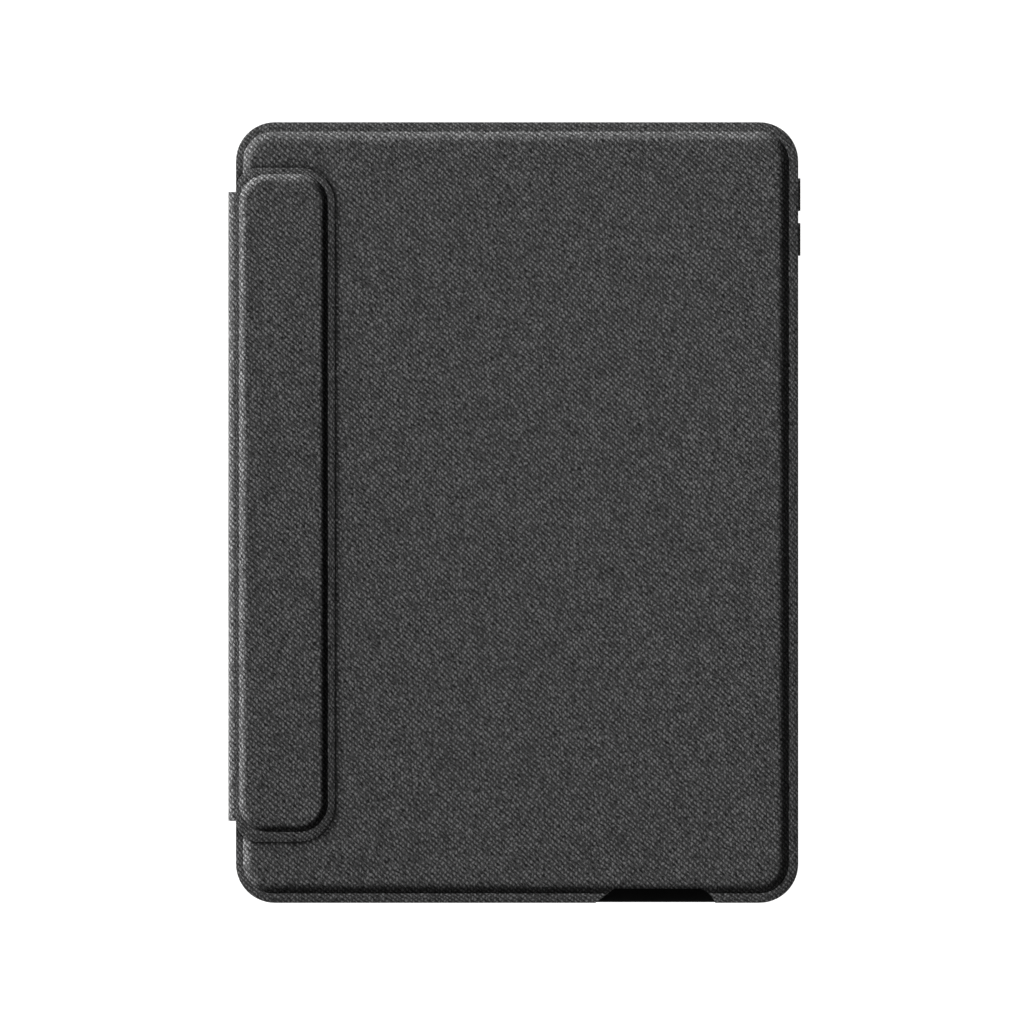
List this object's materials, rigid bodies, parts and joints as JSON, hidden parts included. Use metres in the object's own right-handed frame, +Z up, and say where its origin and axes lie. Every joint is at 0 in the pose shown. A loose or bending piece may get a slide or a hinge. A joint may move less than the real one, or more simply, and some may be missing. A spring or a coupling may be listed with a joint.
{
  "type": "tablet keyboard case",
  "caption": "Closed folio keyboard case for a 10.2 inch tablet, in dark woven-look leather, with a padded front panel, magnetic spine flap, kickstand and built-in keyboard.",
  "frame": {"origin": "middle of the cover's outline, on the flat face of the back", "axes": "+Z up through the closed case towards the front cover; +X from the spine to the opening edge; +Y along the spine towards the volume buttons"},
  "size_m": [0.1877, 0.256, 0.0232],
  "materials": {
    "woven_skin": "matte, woven grain",
    "liner_cloth": "brushed microfibre",
    "tray_plastic": "matte, slightly soft",
    "shell_plastic": "fine matte",
    "deck_plastic": "fine matte",
    "key_plastic": "satin matte",
    "trackpad_face": "smooth satin",
    "board_stock": "plain",
    "foam": "matte foam",
    "steel": "brushed",
    "magnet_nickel": "nickel plated",
    "circuit_board": "solder resist",
    "battery_foil": "foil",
    "soft_rubber": "matte",
    "clear_lens": "frosted",
    "film": "film"
  },
  "bodies": {
    "tray": {"back_skin": "woven_skin", "back_board": "board_stock", "tablet_tray": "tray_plastic", "tray_liner": "liner_cloth", "camera_ring": "shell_plastic", "tray_magnets": "magnet_nickel", "stand_keeper_discs": "steel", "stand_hinge_fixed_leaves": "steel", "stand_hinge_pins": "steel", "stand_fixed_rivets": "steel"},
    "volume_up": {"volume_up_button": "tray_plastic"},
    "volume_down": {"volume_down_button": "tray_plastic"},
    "kickstand": {"stand_skin": "woven_skin", "stand_board": "board_stock", "stand_hinge_moving_leaves": "steel", "stand_magnets": "magnet_nickel", "stand_moving_rivets": "steel"},
    "spine": {"spine_skin": "woven_skin", "spine_board": "board_stock", "spine_lining": "liner_cloth", "lower_fold": "woven_skin", "upper_fold": "woven_skin"},
    "flap": {"flap_skin": "woven_skin", "flap_lining": "liner_cloth", "flap_magnet_carrier": "shell_plastic", "flap_magnets": "magnet_nickel", "flap_foam": "foam"},
    "keyboard": {"cover_skin": "woven_skin", "cover_board": "board_stock", "cover_foam": "foam", "keeper_strip": "steel", "keyboard_bottom_shell": "shell_plastic", "keyboard_top_frame": "deck_plastic", "indicator_lenses": "clear_lens", "key_support_plate": "steel", "key_membrane": "film", "trackpad_switch": "steel", "battery_cell": "battery_foil", "main_circuit_board": "circuit_board", "charging_socket": "steel", "power_switch_body": "shell_plastic", "closure_magnets": "magnet_nickel", "deck_bumpers": "soft_rubber", "key_mechanisms_function_row": "soft_rubber", "key_mechanisms_number_row": "soft_rubber", "key_mechanisms_upper_row": "soft_rubber", "key_mechanisms_home_row": "soft_rubber", "key_mechanisms_lower_row": "soft_rubber", "key_mechanisms_bottom_row": "soft_rubber"},
    "trackpad": {"trackpad_plate": "trackpad_face", "trackpad_board": "circuit_board"},
    "power_switch": {"power_switch_slider": "key_plastic"},
    "function_row": {"keycaps_function_row": "key_plastic"},
    "number_row": {"keycaps_number_row": "key_plastic"},
    "upper_row": {"keycaps_upper_row": "key_plastic"},
    "home_row": {"keycaps_home_row": "key_plastic"},
    "lower_row": {"keycaps_lower_row": "key_plastic"},
    "bottom_row": {"keycaps_bottom_row": "key_plastic"}
  },
  "joints": [
    {"name": "back_fold", "type": "hinge", "parent": "tray", "child": "spine", "pos_m": [-0.09416, 0.002, 0.00053], "axis": [0, -1, 0], "range_deg": [0, 179], "deforming": ["lower_fold"]},
    {"name": "front_fold", "type": "hinge", "parent": "spine", "child": "flap", "pos_m": [-0.09416, 0.002, 0.02076], "axis": [0, -1, 0], "range_deg": [0, 179], "deforming": ["upper_fold"]},
    {"name": "keyboard_pull", "type": "slide", "parent": "flap", "child": "keyboard", "axis": [1, 0, 0], "range_m": [0, 0.036]},
    {"name": "kickstand_open", "type": "hinge", "parent": "tray", "child": "kickstand", "pos_m": [-0.006, 0, 0.00105], "axis": [0, 1, 0], "range_deg": [-120, 0]},
    {"name": "volume_up_press", "type": "slide", "parent": "tray", "child": "volume_up", "axis": [-1, 0, 0], "range_m": [0, 0.0004], "stiffness_N_per_m": 1000},
    {"name": "volume_down_press", "type": "slide", "parent": "tray", "child": "volume_down", "axis": [-1, 0, 0], "range_m": [0, 0.0004], "stiffness_N_per_m": 1000},
    {"name": "trackpad_press", "type": "slide", "parent": "keyboard", "child": "trackpad", "axis": [0, 0, 1], "range_m": [0, 0.00025], "stiffness_N_per_m": 3000},
    {"name": "power_switch_slide", "type": "slide", "parent": "keyboard", "child": "power_switch", "axis": [1, 0, 0], "range_m": [0, 0.0025]},
    {"name": "function_row_press", "type": "slide", "parent": "keyboard", "child": "function_row", "axis": [0, 0, 1], "range_m": [0, 0.001], "stiffness_N_per_m": 600, "deforming": ["key_mechanisms_function_row"]},
    {"name": "number_row_press", "type": "slide", "parent": "keyboard", "child": "number_row", "axis": [0, 0, 1], "range_m": [0, 0.001], "stiffness_N_per_m": 600, "deforming": ["key_mechanisms_number_row"]},
    {"name": "upper_row_press", "type": "slide", "parent": "keyboard", "child": "upper_row", "axis": [0, 0, 1], "range_m": [0, 0.001], "stiffness_N_per_m": 600, "deforming": ["key_mechanisms_upper_row"]},
    {"name": "home_row_press", "type": "slide", "parent": "keyboard", "child": "home_row", "axis": [0, 0, 1], "range_m": [0, 0.001], "stiffness_N_per_m": 600, "deforming": ["key_mechanisms_home_row"]},
    {"name": "lower_row_press", "type": "slide", "parent": "keyboard", "child": "lower_row", "axis": [0, 0, 1], "range_m": [0, 0.001], "stiffness_N_per_m": 600, "deforming": ["key_mechanisms_lower_row"]},
    {"name": "bottom_row_press", "type": "slide", "parent": "keyboard", "child": "bottom_row", "axis": [0, 0, 1], "range_m": [0, 0.001], "stiffness_N_per_m": 600, "deforming": ["key_mechanisms_bottom_row"]}
  ]
}
